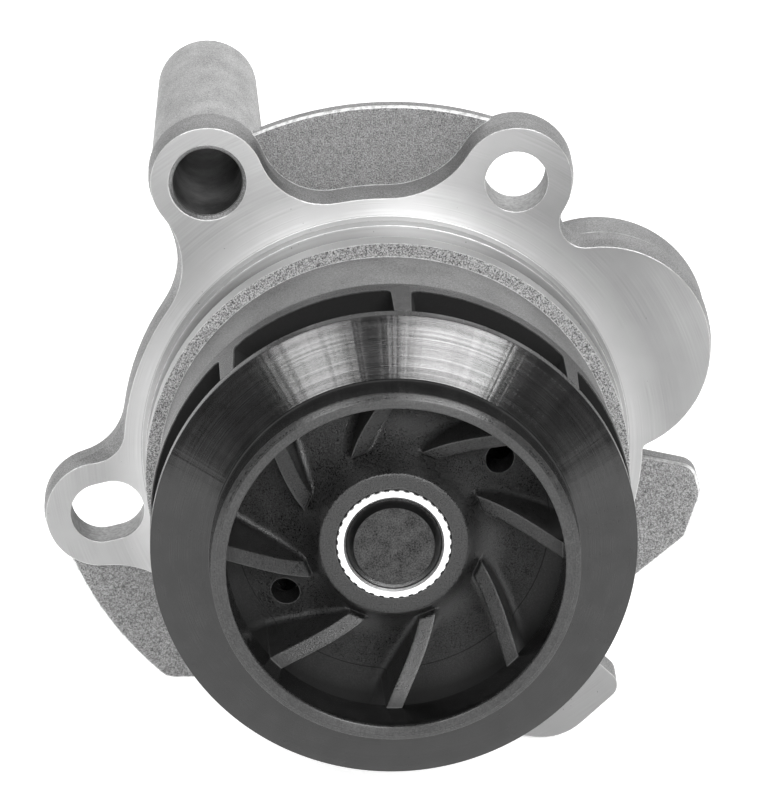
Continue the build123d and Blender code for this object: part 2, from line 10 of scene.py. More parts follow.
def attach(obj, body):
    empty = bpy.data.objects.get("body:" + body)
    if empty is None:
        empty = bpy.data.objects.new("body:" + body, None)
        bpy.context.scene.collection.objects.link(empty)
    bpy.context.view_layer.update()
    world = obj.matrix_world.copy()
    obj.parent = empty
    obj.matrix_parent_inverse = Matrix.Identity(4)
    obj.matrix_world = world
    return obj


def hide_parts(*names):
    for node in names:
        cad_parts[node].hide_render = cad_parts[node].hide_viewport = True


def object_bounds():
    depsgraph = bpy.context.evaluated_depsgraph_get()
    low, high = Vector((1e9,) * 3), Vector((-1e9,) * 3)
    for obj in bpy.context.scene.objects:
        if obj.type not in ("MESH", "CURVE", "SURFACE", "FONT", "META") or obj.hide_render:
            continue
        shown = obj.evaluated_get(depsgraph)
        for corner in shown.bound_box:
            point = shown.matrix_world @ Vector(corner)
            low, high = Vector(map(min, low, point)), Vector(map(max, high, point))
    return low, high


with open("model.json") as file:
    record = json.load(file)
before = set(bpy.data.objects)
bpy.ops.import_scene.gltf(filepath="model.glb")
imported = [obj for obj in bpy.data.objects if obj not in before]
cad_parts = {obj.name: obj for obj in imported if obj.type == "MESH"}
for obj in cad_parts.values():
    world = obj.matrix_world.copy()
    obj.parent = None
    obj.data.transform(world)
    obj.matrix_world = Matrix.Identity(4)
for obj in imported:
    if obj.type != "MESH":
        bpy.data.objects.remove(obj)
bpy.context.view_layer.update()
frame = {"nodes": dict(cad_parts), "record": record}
nodes = frame["nodes"]
MM = 0.001

# camera: turned and raised a little from the shaft axis about a point AHEAD of the flange's face, then moved
# ASIDE and ABOVE across its line of sight, all three in millimetres
AZIMUTH = radians(1.612)
ELEVATION = radians(19.462)
DISTANCE = 0.850
LENS = 291.9
ASIDE = -1.992
ABOVE = 19.165
AHEAD = 38.0

# strength of the world in front of the pump and behind it; in between, one runs over into the other
ROOM_FRONT = 0.06
ROOM_FRONT_ENDS = -0.6
ROOM_BACK = 1.1
ROOM_BACK_STARTS = 0.3

# floor, in metres, and how much it glows
FLOOR_GLOW = 0.6
FLOOR_HALF = 6.0
FLOOR_GAP = 0.0005

# housing, in millimetres: middles of the bolt holes as (x, z), sizes, and stations along the shaft
SLEEVE_AXIS = (-24.0, 38.1)
EAR_HOLE = (17.6, 37.9)
SLOT = (-38.1, -8.9)
SLEEVE_R = 9.0
SLEEVE_START = 6.3
# the sleeve's bolt hole is painted nearly black inside as painted shade
BOLT_HOLE_R = 5.0
BOLT_HOLE_START = 0.5
THIN_HOLE_R = 5.2
THIN_HOLE_START = 0.3
FACE_DEPTH = 0.03
FACE_INNER_R = 32.7
# radius by which the painted highlight on the face round the spigot has faded
FACE_GLOW_END_R = 39.0
SPIGOT_R = 33.4
# radius from which the spigot is painted lighter outwards, part of the same painted highlight
SPIGOT_GLOW_START_R = 30.5
SPIGOT_FRONT = -10.3
SPIGOT_ROOT = 0.6
ANNULUS_Y = -10.0
RIM_START = 3.5
# ranges over which the metal gets darker: cast skin at the top, and, as painted shade, the face to the right
# and the upper right ear
TOP_SHADE_Z = (28.0, 36.0)
RIGHT_PAINTED_SHADE_X = (0.0, 16.0)
EAR_PAINTED_SHADE_X = (2.0, 14.0)
EAR_PAINTED_SHADE_Z = (24.0, 34.0)
# the normal's Y on skin that faces forward, and on rounded rims, which are painted lighter as painted
# highlight
FORWARD_LEAN = -0.8
RIM_LEAN = -0.25

# impeller, in millimetres, as in the CAD; the front is at negative y
HUB_BORE_R = 7.6
HUB_FRONT = -37.2
HUB_BACK = -23.4
HUB_FOOT = (10.5, -35.8)
PLATE_BEND = (16.6, -30.1)
RIM_R = 32.0
PLATE_RIM = -27.7
PLATE_BACK = -25.0
BACK_BOSS_R = 11.0
BACK_BORE_R = 9.0
EYE_R = 22.07
UNDER_CONE_R = 22.12
EYE_FRONT = -46.45
CONE_R = 31.99
BUSH_R = 7.59
BUSH_BORE_R = 6.35
BUSH_FRONT = -37.4
NOTCH_DEPTH = 0.14
VANE_COUNT = 8
VANE_ANGLE = 21.8
VANE_WRAP = 25.5
VANE_IN_R = 12.2
VANE_TURN_R = 28.0
VANE_HALF = 1.0
VANE_DRAFT = 0.026
ROOT_FILLET = 1.1
EDGE_ROUND = 0.16
SEAM_R = 20.8
SEAM_HALF = (0.04, 0.12)
SEAM_FRONT = -31.0
# channels between these radii and in front of this y are painted nearly black as painted shade
OUTLET_SHADE_R = (20.0, 25.0)
OUTLET_SHADE_BACK = -27.0
LIP_Y = (-45.6, -46.1)
# the shaft's rounded edge beyond this radius and in front of this y is painted nearly black as painted shade
SHAFT_SHADE_R = 5.3
SHAFT_SHADE_BACK = -30.0
SHAFT_GROUND_Y = -8.0
BALANCE_HOLE_R = 1.9
BALANCE_HOLE_ENDS = (-36, -20)
BALANCE_PITCH_R = 16.9
BALANCE_ANGLES = (33.0, 213.0)
KNURL_COUNT = 36

# top of a vane as (radius, y): it slopes up to the eye, then follows the underside of the shroud
VANE_TOP = ((VANE_IN_R, -34.4), (EYE_R, -40.0), (UNDER_CONE_R, -38.98), (23.27, -37.72), (RIM_R, -36.22))
# the vane's blunt inner end as (radius, part of its height that is there)
VANE_END = (
    (11.8, 0.0), (12.0, 0.04), (12.05, 0.16), (12.1, 0.6),
    (12.14, 0.86), (12.19, 0.96), (12.26, 0.99), (12.4, 1.0),
)
# radii that need a ring of points of their own
RING_RADII = (11.5, *(radius for radius, _ in VANE_END), EYE_R, UNDER_CONE_R)
# where points stand across the floor of a channel, from a vane's foot to the middle
CHANNEL_PARTS = (0.08, 0.2, 0.36, 0.55, 0.77)

# fineness of the meshes, and the angles in degrees above which an edge stays sharp
SHROUD_SEGMENTS = 288
SHROUD_STEP = 1.6
HOLE_SEGMENTS = 48
CORNER_STEPS = 4
SHARP = 35
SHARP_BODY = 32
SHARP_BUSH = 30


# ------------------------------------------------------------------ helpers for shapes
def arc_points(start, middle, end, count):
    """Points after the start of the arc through three points, given as (radius, y)."""
    (ax, ay), (bx, by), (cx, cy) = start, middle, end
    d = 2 * (ax * (by - cy) + bx * (cy - ay) + cx * (ay - by))
    a2, b2, c2 = ax * ax + ay * ay, bx * bx + by * by, cx * cx + cy * cy
    ux = (a2 * (by - cy) + b2 * (cy - ay) + c2 * (ay - by)) / d
    uy = (a2 * (cx - bx) + b2 * (ax - cx) + c2 * (bx - ax)) / d
    radius = hypot(ax - ux, ay - uy)
    first = atan2(ay - uy, ax - ux)
    turn = (atan2(cy - uy, cx - ux) - first + pi) % (2 * pi) - pi
    steps = [first + turn * number / count for number in range(1, count + 1)]
    return [(ux + radius * cos(step), uy + radius * sin(step)) for step in steps]


def rounded_profile(corners):
    """A closed profile of (radius, y, round) corners with each corner rounded."""
    points = []
    count = len(corners)
    for number, (x, y, size) in enumerate(corners):
        here = Vector((x, y))
        before = Vector(corners[number - 1][:2]) - here
        after = Vector(corners[(number + 1) % count][:2]) - here
        if size == 0:
            points.append((x, y))
            continue
        half = before.angle(after) / 2
        reach = size / abs(sin(half) / cos(half))
        start = here + before.normalized() * reach
        end = here + after.normalized() * reach
        centre = here + (before.normalized() + after.normalized()).normalized() * (size / sin(half))
        middle = centre + (here - centre).normalized() * size
        points.append(tuple(start))
        points += arc_points(tuple(start), tuple(middle), tuple(end), CORNER_STEPS)
    return points


def mesh_object(name, vertices, faces, angle=SHARP):
    """An object from vertices in millimetres, smooth except at edges sharper than the angle."""
    mesh = bpy.data.meshes.new(name)
    mesh.from_pydata([Vector(vertex) * MM for vertex in vertices], [], faces)
    shape = bmesh.new()
    shape.from_mesh(mesh)
    bmesh.ops.recalc_face_normals(shape, faces=shape.faces)
    shape.to_mesh(mesh)
    shape.free()
    mesh.shade_smooth()
    mesh.set_sharp_from_angle(angle=radians(angle))
    piece = bpy.data.objects.new(name, mesh)
    bpy.context.scene.collection.objects.link(piece)
    return piece


def closed_grid(name, rows, angle=SHARP):
    """A ring-shaped skin from rows of points; the rows and the points in a row both close on themselves."""
    width = len(rows[0])
    vertices = [point for row in rows for point in row]
    faces = []
    for start in range(0, len(vertices), width):
        after = (start + width) % len(vertices)
        for column in range(width):
            beside = (column + 1) % width
            faces.append((start + column, start + beside, after + beside, after + column))
    return mesh_object(name, vertices, faces, angle)


def turned_rows(profile, turns):
    """A row of points at the given turns about the shaft axis for each (radius, y) of the profile."""
    return [[(radius * cos(turn), y, radius * sin(turn)) for turn in turns] for radius, y in profile]


def cut(piece, cutter):
    """Take the cutter out of the piece and drop the cutter."""
    modifier = piece.modifiers.new("cut", "BOOLEAN")
    modifier.operation = "DIFFERENCE"
    modifier.solver = "EXACT"
    modifier.object = cutter
    view = bpy.context.evaluated_depsgraph_get()
    mesh = bpy.data.meshes.new_from_object(piece.evaluated_get(view))
    piece.modifiers.clear()
    old = piece.data
    piece.data = mesh
    bpy.data.meshes.remove(old)
    bpy.data.objects.remove(cutter)


# ------------------------------------------------------------------ impeller
def hub_profile():
    """Front of the hub and back plate from the bore to the rim, as (radius, y)."""
    points = [(HUB_BORE_R, HUB_BACK), (HUB_BORE_R, -27.0), (HUB_BORE_R, -32.0), (HUB_BORE_R, -37.1)]
    points += [(7.7, HUB_FRONT), (8.4, HUB_FRONT), (9.1, HUB_FRONT), (9.62, HUB_FRONT)]
    points += arc_points((9.62, HUB_FRONT), (9.86, -37.1), (9.99, -36.85), 3)
    points += [(10.16, -36.5), (10.34, -36.15), HUB_FOOT]
    points += arc_points(HUB_FOOT, (12.8, -32.3), PLATE_BEND, 26)
    points += arc_points(PLATE_BEND, (23.6, -28.3), (RIM_R, PLATE_RIM), 34)
    return points


def vane_turn(radius):
    """Middle of a vane in degrees from its inner end; it trails, then runs out almost radially."""
    rise = (VANE_TURN_R - max(radius, VANE_IN_R)) / (VANE_TURN_R - VANE_IN_R)
    return -VANE_WRAP * (1 - rise**2)


def along(line, radius):
    """Value at the radius on a line of (radius, value) points, held at both ends."""
    if radius <= line[0][0]:
        return line[0][1]
    for (x0, y0), (x1, y1) in zip(line, line[1:]):
        if radius <= x1:
            return y0 + (y1 - y0) * (radius - x0) / (x1 - x0)
    return line[-1][1]


def vane_section(height):
    """Half of a vane's cross section, as (distance from its middle, height above the plate)."""
    edge = min(EDGE_ROUND, height * 0.3)
    fillet = min(ROOT_FILLET, height * 0.45)
    points = [(0.0, height), (VANE_HALF * 0.5, height), (VANE_HALF - edge, height)]
    for turn in (radians(30), radians(60), radians(90)):
        points.append((VANE_HALF - edge + edge * sin(turn), height - edge + edge * cos(turn)))
    wall = height - edge - fillet
    foot = VANE_HALF + VANE_DRAFT * wall
    for part in (0.33, 0.67, 1.0):
        points.append((VANE_HALF + VANE_DRAFT * wall * part, height - edge - wall * part))
    for step in (18, 36, 54, 72, 90):
        turn = radians(step)
        points.append((foot + fillet * (1 - cos(turn)), fillet * (1 - sin(turn))))
    return points


def vane_row(radius, plate):
    """All points of one ring of the impeller's front, from the middle of a channel round to it again."""
    height = max(plate - along(VANE_TOP, radius), 0.02)
    rise = along(VANE_END, radius)
    reach = max(radius, VANE_IN_R)
    slope = radians(vane_turn(reach + 0.05) - vane_turn(reach - 0.05)) / 0.1 * reach
    half = [(distance * sqrt(1 + slope**2) / reach, y) for distance, y in vane_section(height)]
    foot = half[-1][0]
    middle_of_channel = pi / VANE_COUNT
    half += [(foot + (middle_of_channel - foot) * part, 0.0) for part in CHANNEL_PARTS]
    sector = [(-middle_of_channel, 0.0)] + [(-angle, y) for angle, y in reversed(half[1:])] + half
    row = []
    for number in range(VANE_COUNT):
        middle = radians(VANE_ANGLE + 360 / VANE_COUNT * number + vane_turn(radius))
        for angle, y in sector:
            turn = middle + angle
            row.append((radius * cos(turn), plate - y * rise, radius * sin(turn)))
    return row


def balance_hole(degrees):
    """A cylinder from in front of the back plate to behind it, to cut out."""
    x = BALANCE_PITCH_R * cos(radians(degrees))
    z = BALANCE_PITCH_R * sin(radians(degrees))
    count = HOLE_SEGMENTS
    turns = [2 * pi * number / count for number in range(count)]
    ring = [(x + BALANCE_HOLE_R * cos(turn), z + BALANCE_HOLE_R * sin(turn)) for turn in turns]
    ends = [(x, y, z) for y in BALANCE_HOLE_ENDS for x, z in ring]
    sides = [(n, (n + 1) % count, count + (n + 1) % count, count + n) for n in range(count)]
    return mesh_object("hole", ends, sides + [tuple(range(count)), tuple(range(count, 2 * count))])


def impeller_body():
    """Hub, back plate and eight vanes as one moulded skin, with two balance holes."""
    profile = hub_profile()
    points = []
    for here, after in zip(profile, profile[1:]):
        points.append(here)
        for radius in RING_RADII:
            if here[0] + 0.004 < radius < after[0] - 0.004:
                part = (radius - here[0]) / (after[0] - here[0])
                points.append((radius, here[1] + (after[1] - here[1]) * part))
    points.append(profile[-1])
    rows = [vane_row(radius, y) for radius, y in points]
    back = [
        (RIM_R, -27.66), (RIM_R, -26.4), (RIM_R, -25.2), (31.94, -25.06), (31.8, PLATE_BACK),
        (24.0, PLATE_BACK), (17.0, PLATE_BACK), (BACK_BOSS_R, PLATE_BACK), (BACK_BOSS_R, -23.5),
        (10.9, HUB_BACK), (BACK_BORE_R, HUB_BACK),
    ]
    rows += turned_rows(back, [atan2(z, x) for x, _, z in rows[-1]])
    piece = closed_grid("impeller_vanes", rows, SHARP_BODY)
    for degrees in BALANCE_ANGLES:
        cut(piece, balance_hole(degrees))
    piece.data.set_sharp_from_angle(angle=radians(SHARP_BODY))
    return piece


def impeller_shroud():
    """The cone over the vanes with its neck and rounded lip."""
    corners = [
        (EYE_R, EYE_FRONT, 0.22), (23.32, EYE_FRONT, 0.14), (24.1, -45.98, 0.2), (24.2, -41.4, 0.5),
        (CONE_R, -38.0, 0.16), (CONE_R, -36.2, 0.12), (23.27, -37.7, 0.1), (EYE_R, -39.0, 0.1),
    ]
    profile = rounded_profile(corners)
    dense = []
    for here, after in zip(profile, profile[1:] + profile[:1]):
        steps = max(1, round(hypot(after[0] - here[0], after[1] - here[1]) / SHROUD_STEP))
        for step in range(steps):
            part = step / steps
            dense.append((here[0] + (after[0] - here[0]) * part, here[1] + (after[1] - here[1]) * part))
    turns = [2 * pi * number / SHROUD_SEGMENTS for number in range(SHROUD_SEGMENTS)]
    return closed_grid("impeller_cone", turned_rows(dense, turns))


def impeller_insert():
    """Bright bush with small flat-topped notches round it."""
    # (part of one notch's share of the turn, 1 in the notch and 0 beside it)
    wave = [(0.0, 0), (0.46, 0), (0.54, 1), (0.92, 1)]
    turns = []
    for number in range(KNURL_COUNT):
        turns += [(2 * pi * (number + part) / KNURL_COUNT, low) for part, low in wave]
    # (radius, y, 1 where the notches are cut)
    rings = [
        (BUSH_BORE_R, HUB_BACK, 0), (BUSH_BORE_R, -37.1, 0), (BUSH_BORE_R + 0.28, BUSH_FRONT, 0),
        (BUSH_R - 0.5, BUSH_FRONT, 0), (BUSH_R - 0.12, BUSH_FRONT, 1), (BUSH_R, -37.3, 1), (BUSH_R, -34.0, 1),
        (BUSH_R, HUB_BACK, 1), (BUSH_R - 0.5, HUB_BACK, 0),
    ]
    rows = []
    for radius, y, notched in rings:
        sizes = [radius - NOTCH_DEPTH * low * notched for _, low in turns]
        rows.append([(size * cos(turn), y, size * sin(turn)) for size, (turn, _) in zip(sizes, turns)])
    return closed_grid("shaft_bush", rows, SHARP_BUSH)


# ------------------------------------------------------------------ materials
class Paint:
    """One node material: a Principled shader with small methods that add the nodes it needs."""

    def __init__(self, name, **constants):
        self.material = bpy.data.materials.new(name)
        self.material.use_nodes = True
        self.tree = self.material.node_tree
        self.shader = self.tree.nodes["Principled BSDF"]
        for key, value in constants.items():
            self.shader.inputs[key.replace("_", " ").title()].default_value = value
        place = self.tree.nodes.new("ShaderNodeTexCoord")
        self.place = self.scaled(place.outputs["Object"], 1 / MM)
        self.normal = place.outputs["Normal"]
        self.x, self.y, self.z = self.split(self.place)
        self.radius = self.length(self.x, self.z)

    def link(self, source, target):
        self.tree.links.new(source, target)

    def put(self, socket, value):
        if isinstance(value, (int, float)):
            socket.default_value = value
        elif isinstance(value, tuple):
            socket.default_value = (*value, 1.0)[:len(socket.default_value)]
        else:
            self.link(value, socket)

    def split(self, vector):
        node = self.tree.nodes.new("ShaderNodeSeparateXYZ")
        self.link(vector, node.inputs[0])
        return node.outputs

    def near(self, axis):
        """Distance in millimetres from a line along Y at the given x and z."""
        return self.length(self.math("SUBTRACT", self.x, axis[0]), self.math("SUBTRACT", self.z, axis[1]))

    def scaled(self, vector, factor):
        node = self.tree.nodes.new("ShaderNodeVectorMath")
        node.operation = "SCALE"
        self.link(vector, node.inputs[0])
        node.inputs["Scale"].default_value = factor
        return node.outputs[0]

    def math(self, operation, *values):
        node = self.tree.nodes.new("ShaderNodeMath")
        node.operation = operation
        for socket, value in zip(node.inputs, values):
            self.put(socket, value)
        return node.outputs[0]

    def plus(self, first, second):
        return self.math("ADD", first, second)

    def times(self, first, second):
        return self.math("MULTIPLY", first, second)

    def below(self, value, limit):
        return self.math("LESS_THAN", value, limit)

    def above(self, value, limit):
        return self.math("GREATER_THAN", value, limit)

    def length(self, across, up):
        return self.math("SQRT", self.plus(self.times(across, across), self.times(up, up)))

    def noise(self, size, detail=2.0, stretch=(1, 1, 1), rough=0.6, offset=0.0):
        """Noise, 0 to 1, with features about the given size in millimetres, stretched along the axes."""
        node = self.tree.nodes.new("ShaderNodeMapping")
        node.inputs["Scale"].default_value = [1 / size / part for part in stretch]
        node.inputs["Location"].default_value = (offset, offset, offset)
        self.link(self.place, node.inputs["Vector"])
        noise = self.tree.nodes.new("ShaderNodeTexNoise")
        noise.inputs["Scale"].default_value = 1.0
        noise.inputs["Detail"].default_value = detail
        noise.inputs["Roughness"].default_value = rough
        self.link(node.outputs[0], noise.inputs["Vector"])
        return noise.outputs[0]

    def rings(self, size, detail=2.0, source=None):
        """Concentric lines of about the given spacing in millimetres, 0 to 1."""
        noise = self.tree.nodes.new("ShaderNodeTexNoise")
        noise.noise_dimensions = "1D"
        noise.inputs["Scale"].default_value = 1.0
        noise.inputs["Detail"].default_value = detail
        self.link(self.times(source or self.radius, 1 / size), noise.inputs["W"])
        return noise.outputs[0]

    def spokes(self, size, detail=2.0):
        """Streaks that run straight out from the shaft axis, about the given width at the impeller's rim."""
        out = self.tree.nodes.new("ShaderNodeCombineXYZ")
        self.link(self.math("DIVIDE", self.x, self.radius), out.inputs[0])
        self.link(self.math("DIVIDE", self.z, self.radius), out.inputs[2])
        noise = self.tree.nodes.new("ShaderNodeTexNoise")
        noise.inputs["Scale"].default_value = RIM_R / size
        noise.inputs["Detail"].default_value = detail
        self.link(out.outputs[0], noise.inputs["Vector"])
        return noise.outputs[0]

    def spread(self, value, low, high, start=0.0, end=1.0):
        """Map low to high onto start to end, held at both ends."""
        node = self.tree.nodes.new("ShaderNodeMapRange")
        for socket, number in zip(list(node.inputs)[:5], (value, low, high, start, end)):
            self.put(socket, number)
        return node.outputs[0]

    def mix(self, factor, first, second):
        """Colour between two colours."""
        node = self.tree.nodes.new("ShaderNodeMix")
        node.data_type = "RGBA"
        self.put(node.inputs["Factor"], factor)
        self.put(node.inputs[6], first)
        self.put(node.inputs[7], second)
        return node.outputs[2]

    def blend(self, factor, first, second):
        """Number between two numbers."""
        node = self.tree.nodes.new("ShaderNodeMix")
        self.put(node.inputs["Factor"], factor)
        self.put(node.inputs[2], first)
        self.put(node.inputs[3], second)
        return node.outputs[0]

    def grey(self, value):
        """A neutral colour from a number."""
        node = self.tree.nodes.new("ShaderNodeCombineColor")
        for socket in node.inputs:
            self.put(socket, value)
        return node.outputs[0]

    def edges(self, size):
        """Mask of convex and hollow edges within the given size in millimetres, and the rounded normal."""
        bevel = self.tree.nodes.new("ShaderNodeBevel")
        bevel.samples = 6
        bevel.inputs["Radius"].default_value = size * MM
        flat = self.tree.nodes.new("ShaderNodeNewGeometry")
        dot = self.tree.nodes.new("ShaderNodeVectorMath")
        dot.operation = "DOT_PRODUCT"
        self.link(bevel.outputs[0], dot.inputs[0])
        self.link(flat.outputs["Normal"], dot.inputs[1])
        return self.spread(dot.outputs["Value"], 0.995, 0.9), bevel.outputs[0]

    def bump(self, height, depth, normal=None):
        """Relief of the given depth in millimetres."""
        node = self.tree.nodes.new("ShaderNodeBump")
        node.inputs["Distance"].default_value = depth * MM
        self.put(node.inputs["Height"], height)
        if normal:
            self.link(normal, node.inputs["Normal"])
        return node.outputs[0]

    def turned_tangent(self):
        """Gloss stretched across the turning marks round the shaft axis."""
        node = self.tree.nodes.new("ShaderNodeTangent")
        node.direction_type = "RADIAL"
        node.axis = "Y"
        self.link(node.outputs[0], self.shader.inputs["Tangent"])

    def finish(self, color, roughness, normal):
        self.put(self.shader.inputs["Base Color"], color)
        self.put(self.shader.inputs["Roughness"], roughness)
        self.link(normal, self.shader.inputs["Normal"])
        return self.material


def housing_paint():
    """Die-cast aluminium: speckled cast skin, smoother side walls and machined faces with turning marks."""
    p = Paint("cast_aluminium", metallic=0.9, anisotropic=0.78, anisotropic_rotation=0.25)

    # masks
    face = p.times(p.below(p.math("ABSOLUTE", p.y), FACE_DEPTH), p.above(p.radius, FACE_INNER_R))
    spigot = p.times(p.below(p.radius, SPIGOT_R), p.above(p.y, SPIGOT_FRONT))
    spigot = p.times(spigot, p.below(p.y, SPIGOT_ROOT))
    machined = p.math("MAXIMUM", face, spigot)
    lean = p.split(p.normal)[1]
    forward = p.below(lean, FORWARD_LEAN)
    rim = p.times(p.below(lean, RIM_LEAN), p.above(p.y, RIM_START))
    annulus = p.below(p.y, ANNULUS_Y)
    in_sleeve = p.near(SLEEVE_AXIS)
    sleeve = p.times(p.below(in_sleeve, SLEEVE_R), p.above(p.y, SLEEVE_START))
    hole = p.times(p.below(in_sleeve, BOLT_HOLE_R), p.above(p.y, BOLT_HOLE_START))
    thin_holes = p.math("MINIMUM", p.near(EAR_HOLE), p.near(SLOT))
    thin_holes = p.times(p.below(thin_holes, THIN_HOLE_R), p.above(p.y, THIN_HOLE_START))

    # cast skin
    speck = p.noise(0.2, 2.0, rough=0.8)
    coarse = p.noise(0.6, 2.0, offset=3.0)
    blotch = p.noise(6.0, 3.0, offset=9.0)
    cast = p.plus(p.spread(speck, 0.36, 0.66, 0.15, 0.5), p.spread(coarse, 0.35, 0.65, -0.04, 0.04))
    cast = p.plus(cast, p.times(annulus, p.spread(speck, 0.36, 0.55, -0.08, 0.04)))
    cast = p.times(cast, p.blend(annulus, p.spread(p.z, *TOP_SHADE_Z, 0.98, 0.86), 1.05))
    calm = p.plus(p.spread(speck, 0.35, 0.65, 0.17, 0.38), p.spread(blotch, 0.35, 0.65, -0.025, 0.03))
    calm = p.times(calm, p.blend(annulus, 1.0, 0.84))
    stain = p.noise(2.2, 3.0, stretch=(1, 3, 1), offset=27.0)
    stained = p.plus(calm, p.spread(stain, 0.35, 0.65, -0.02, 0.02))
    # painted light: the sleeve's stained skin is painted 1.4 times lighter than the other smooth skin
    calm = p.blend(sleeve, calm, p.times(stained, 1.4))
    # painted highlight: rounded rims are painted much lighter than the skin on either side
    skin = p.blend(rim, calm, p.spread(coarse, 0.3, 0.6, 0.48, 0.85))
    skin = p.blend(forward, skin, cast)
    # painted shade: the inside of the sleeve's bolt hole is painted nearly black
    skin = p.blend(hole, skin, p.spread(blotch, 0.35, 0.65, 0.05, 0.14))
    skin = p.blend(thin_holes, skin, p.spread(coarse, 0.3, 0.7, 0.3, 0.5))

    # machined faces
    marks = p.rings(0.3, 3.0)
    broad = p.rings(1.6, 2.0)
    cloud = p.noise(14.0, 3.0, offset=2.0)
    pits = p.spread(p.noise(0.5, 1.0, offset=17.0), 0.2, 0.25, 0.5, 1.0)
    fade = p.spread(p.noise(9.0, 2.0, offset=23.0), 0.4, 0.6, 0.15, 1.0)
    cutting = p.plus(p.spread(marks, 0.3, 0.7, -0.03, 0.03), p.spread(broad, 0.3, 0.7, -0.015, 0.015))
    cutting = p.times(fade, cutting)
    level = p.plus(p.spread(cloud, 0.35, 0.65, 0.33, 0.37), cutting)
    # painted highlight: the machined face is painted much lighter close to the spigot, fading outwards, and
    # the spigot is painted lighter towards its outer radius
    painted_face_glow = p.spread(p.radius, SPIGOT_R, FACE_GLOW_END_R, 1.75, 1.07)
    painted_spigot_glow = p.spread(p.radius, SPIGOT_GLOW_START_R, FACE_INNER_R, 0.95, 1.25)
    level = p.times(level, p.blend(spigot, painted_face_glow, painted_spigot_glow))
    # painted shade: the machined face is painted darker towards the right and on the upper right ear
    level = p.times(level, p.spread(p.x, *RIGHT_PAINTED_SHADE_X, 1.0, 0.88))
    painted_shade_right_ear = p.times(p.spread(p.x, *EAR_PAINTED_SHADE_X), p.spread(p.z, *EAR_PAINTED_SHADE_Z))
    level = p.times(level, p.blend(painted_shade_right_ear, 1.0, 0.78))
    level = p.times(level, pits)
    tone = p.blend(machined, skin, level)

    # edges painted lighter as painted highlight, gloss and relief
    mask, rounded = p.edges(0.22)
    # painted highlight: convex and hollow edges are painted much lighter, in patches, as bright edge lines
    worn = p.times(mask, p.spread(p.noise(1.2, 2.0, offset=31.0), 0.3, 0.6, 0.35, 1.0))
    tone = p.blend(worn, tone, 0.8)
    rough = p.blend(machined, p.blend(forward, 0.52, 0.62), p.spread(marks, 0.3, 0.7, 0.42, 0.5))
    height = p.blend(machined, p.times(speck, p.blend(forward, 0.35, 1.0)), p.times(marks, 0.03))
    p.turned_tangent()
    return p.finish(p.grey(tone), rough, p.bump(height, 0.16, rounded))


def vane_paint():
    """Black glass-filled plastic with a fine satin grain; painted nearly black near the outlet as painted
    shade, and nearly black along a seam.
    """
    p = Paint("moulded_black_plastic", metallic=0.0)
    grain = p.noise(0.2, 2.0, rough=0.8)
    soft = p.noise(2.5, 3.0, offset=4.0)
    tone = p.plus(p.spread(grain, 0.42, 0.66, 0.0, 0.03), p.spread(soft, 0.35, 0.65, 0.0, 0.003))
    # painted shade: the channels towards the outlet are painted nearly black
    outlet = p.times(p.spread(p.radius, *OUTLET_SHADE_R), p.below(p.radius, RIM_R - 0.2))
    outlet = p.times(outlet, p.below(p.y, OUTLET_SHADE_BACK))
    tone = p.times(tone, p.blend(outlet, 1.0, 0.05))
    seam = p.spread(p.math("ABSOLUTE", p.math("SUBTRACT", p.radius, SEAM_R)), *SEAM_HALF, 1.0, 0.0)
    seam = p.times(seam, p.above(p.y, SEAM_FRONT))
    tone = p.times(tone, p.blend(seam, 1.0, 0.1))
    # painted highlight: convex and hollow edges of the vanes are painted lighter, as thin bright lines
    mask, _ = p.edges(0.3)
    tone = p.blend(p.times(mask, p.spread(soft, 0.3, 0.6, 0.4, 1.0)), tone, 0.07)
    rough = p.plus(p.spread(grain, 0.35, 0.65, 0.26, 0.42), p.spread(soft, 0.3, 0.7, -0.03, 0.03))
    rough = p.blend(outlet, rough, 0.95)
    rough = p.blend(seam, rough, 0.9)
    return p.finish(p.grey(tone), rough, p.bump(grain, 0.06))


def cone_paint():
    """Black plastic with fine turned rings and faint rubbed streaks; the lip of the eye is greyer."""
    p = Paint("turned_black_plastic", metallic=0.0, anisotropic=0.88, anisotropic_rotation=0.25)
    fine = p.rings(0.1, 2.0)
    broad = p.rings(0.6, 3.0)
    streaks = p.spokes(1.3, 3.0)
    rubbed = p.spread(p.spokes(9.0, 1.0), 0.4, 0.6, 0.0, 1.0)
    grain = p.noise(0.2, 2.0)
    dust = p.noise(3.0, 3.0, offset=6.0)
    lip = p.spread(p.y, *LIP_Y)
    tone = p.plus(p.spread(fine, 0.3, 0.7, 0.004, 0.015), p.spread(dust, 0.35, 0.65, -0.002, 0.003))
    tone = p.plus(tone, p.times(lip, p.spread(grain, 0.4, 0.7, 0.0, 0.03)))
    rough = p.plus(p.spread(broad, 0.3, 0.7, 0.13, 0.235), p.spread(grain, 0.3, 0.7, -0.02, 0.02))
    rough = p.plus(rough, p.times(rubbed, p.spread(streaks, 0.42, 0.68, 0.0, 0.09)))
    rough = p.plus(rough, p.times(lip, 0.12))
    height = p.plus(p.times(fine, 0.5), p.times(broad, 1.0))
    height = p.plus(height, p.times(streaks, 1.5))
    p.turned_tangent()
    return p.finish(p.grey(tone), rough, p.bump(height, 0.016))


